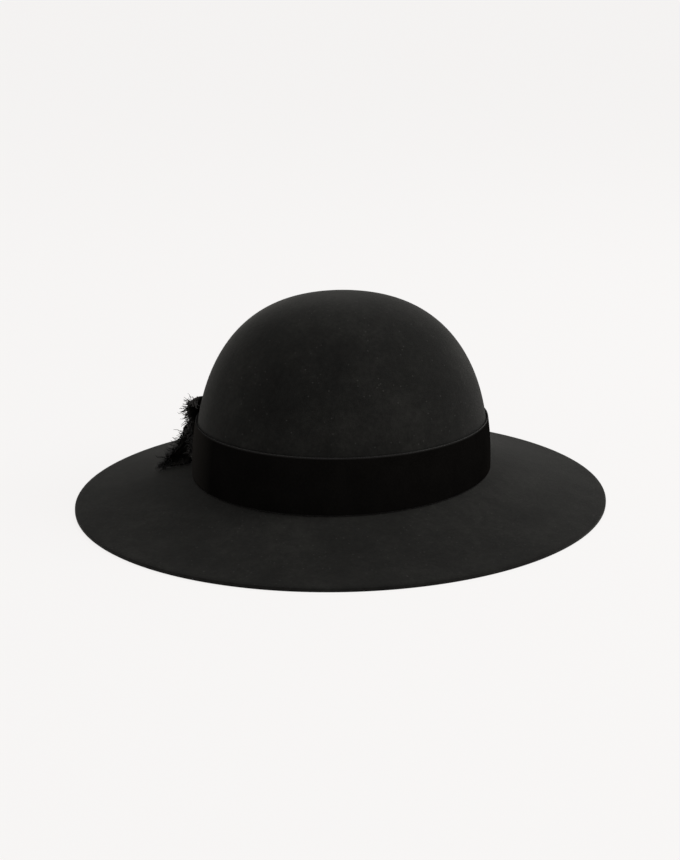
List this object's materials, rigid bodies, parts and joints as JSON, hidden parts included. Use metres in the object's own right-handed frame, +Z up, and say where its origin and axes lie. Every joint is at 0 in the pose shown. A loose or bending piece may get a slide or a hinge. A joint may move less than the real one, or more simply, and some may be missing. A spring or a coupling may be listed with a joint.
{
  "type": "hat",
  "caption": "Wide-brimmed black felt hat with a round crown, a velvet ribbon band and a flat side bow with frayed ends.",
  "frame": {"origin": "middle of the rim's underside, in the plane on which the hat rests", "axes": "+Z up through the crown, -Y towards the wearer's front, +X towards the wearer's left"},
  "size_m": [0.3134, 0.3404, 0.1215],
  "materials": {
    "felt": "matt wool felt, smoothly brushed",
    "velvet": "short-pile velvet ribbon"
  },
  "bodies": {
    "root": {"felt_body": "felt", "hat_band": "velvet", "bow_upper_ribbon": "velvet", "bow_lower_ribbon": "velvet", "bow_knot": "velvet"}
  },
  "joints": []
}
